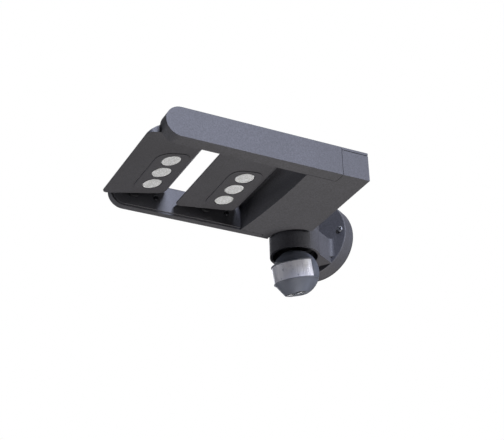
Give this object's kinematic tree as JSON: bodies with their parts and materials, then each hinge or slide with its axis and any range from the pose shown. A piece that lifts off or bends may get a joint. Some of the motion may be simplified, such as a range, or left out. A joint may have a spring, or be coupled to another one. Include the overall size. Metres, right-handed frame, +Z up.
{
  "type": "wall spotlight with motion sensor",
  "caption": "Wall-mounted outdoor LED spotlight: swivelling two-armed frame with two tilting lamp heads and a ball-shaped motion sensor under its bracket.",
  "frame": {"origin": "centre of the wall disc on the wall plane", "axes": "+Y into the wall, -Y the way the lamp reaches out, +Z up, +X to the right seen from the wall"},
  "size_m": [0.2694, 0.3439, 0.1426],
  "materials": {
    "anthracite_powder_coat": "fine-textured powder coat on cast aluminium",
    "dark_liner_coat": "fine-textured powder coat",
    "steel": "zinc plated",
    "black_rubber": "matt",
    "sensor_grey_plastic": "satin moulded",
    "black_plastic": "moulded",
    "white_plastic": "moulded",
    "circuit_board": "solder mask",
    "milky_window": "translucent ribbed window",
    "clear_optic": "clear moulded optic"
  },
  "bodies": {
    "wall_bracket": {"bracket_casting": "anthracite_powder_coat", "wall_plate": "steel", "wall_gasket": "black_rubber", "wall_cable_grommet": "black_rubber", "mains_terminal_block": "white_plastic", "wall_disc_screws": "steel", "sensor_carrier": "black_plastic", "sensor_carrier_screws": "steel", "swivel_seal_ring": "black_rubber"},
    "lamp_frame": {"swivel_bolt": "steel", "swivel_nut": "steel", "swivel_washer": "steel", "rear_housing": "anthracite_powder_coat", "housing_lid": "anthracite_powder_coat", "housing_lid_seal": "black_rubber", "housing_lid_screws": "steel", "led_driver": "black_plastic", "near_arm": "anthracite_powder_coat", "near_arm_cover": "anthracite_powder_coat", "near_arm_cover_screws": "steel", "near_arm_bolts": "steel", "far_arm": "anthracite_powder_coat", "far_arm_liner": "dark_liner_coat", "far_arm_liner_screws": "steel", "far_arm_bolts": "steel", "near_pivot_bushes": "black_plastic", "far_pivot_bushes": "black_plastic", "pivot_friction_discs": "black_plastic"},
    "front_head": {"front_head_housing": "anthracite_powder_coat", "front_head_back_cover": "anthracite_powder_coat", "front_head_seal": "black_rubber", "front_head_cover_screws": "steel", "front_head_lens_bezel": "dark_liner_coat", "front_head_triple_lens": "clear_optic", "front_head_led_board": "circuit_board", "front_head_far_pivot_pin": "steel", "front_head_near_pivot_tube": "steel"},
    "rear_head": {"rear_head_housing": "anthracite_powder_coat", "rear_head_back_cover": "anthracite_powder_coat", "rear_head_seal": "black_rubber", "rear_head_cover_screws": "steel", "rear_head_lens_bezel": "dark_liner_coat", "rear_head_triple_lens": "clear_optic", "rear_head_led_board": "circuit_board", "rear_head_far_pivot_pin": "steel", "rear_head_near_pivot_tube": "steel"},
    "sensor_stem": {"sensor_stem": "black_plastic", "sensor_stem_clip": "steel"},
    "sensor_ball": {"sensor_tilt_pin": "steel", "sensor_upper_shell": "sensor_grey_plastic", "sensor_lower_shell": "sensor_grey_plastic", "sensor_lens": "milky_window", "sensor_board": "circuit_board", "pyro_sensor": "steel", "sensor_setting_board": "circuit_board", "sensor_shell_screw": "steel"},
    "time_dial": {"time_dial": "sensor_grey_plastic"},
    "light_level_dial": {"light_level_dial": "sensor_grey_plastic"}
  },
  "joints": [
    {"name": "lamp_swivel", "type": "hinge", "parent": "wall_bracket", "child": "lamp_frame", "pos_m": [0, -0.0583, -0.0216], "axis": [0, 0, 1], "range_deg": [-40, 45]},
    {"name": "front_head_tilt", "type": "hinge", "parent": "lamp_frame", "child": "front_head", "pos_m": [-0.04439, -0.27532, -0.0011], "axis": [0.849, -0.5284, 0], "range_deg": [-47, 23]},
    {"name": "rear_head_tilt", "type": "hinge", "parent": "lamp_frame", "child": "rear_head", "pos_m": [0.00238, -0.20019, -0.0011], "axis": [0.849, -0.5284, 0], "range_deg": [-42, 28]},
    {"name": "sensor_pan", "type": "hinge", "parent": "wall_bracket", "child": "sensor_stem", "pos_m": [0, -0.0583, -0.062], "axis": [0, 0, 1], "range_deg": [-90, 90]},
    {"name": "sensor_tilt", "type": "hinge", "parent": "sensor_stem", "child": "sensor_ball", "pos_m": [0, -0.0583, -0.062], "axis": [1, 0, 0], "range_deg": [-20, 20]},
    {"name": "time_dial_turn", "type": "hinge", "parent": "sensor_ball", "child": "time_dial", "pos_m": [-0.007, -0.06157, -0.08978], "axis": [0, -0.2756, 0.9613], "range_deg": [-135, 135]},
    {"name": "light_level_dial_turn", "type": "hinge", "parent": "sensor_ball", "child": "light_level_dial", "pos_m": [0.007, -0.06157, -0.08978], "axis": [0, -0.2756, 0.9613], "range_deg": [-135, 135]}
  ]
}
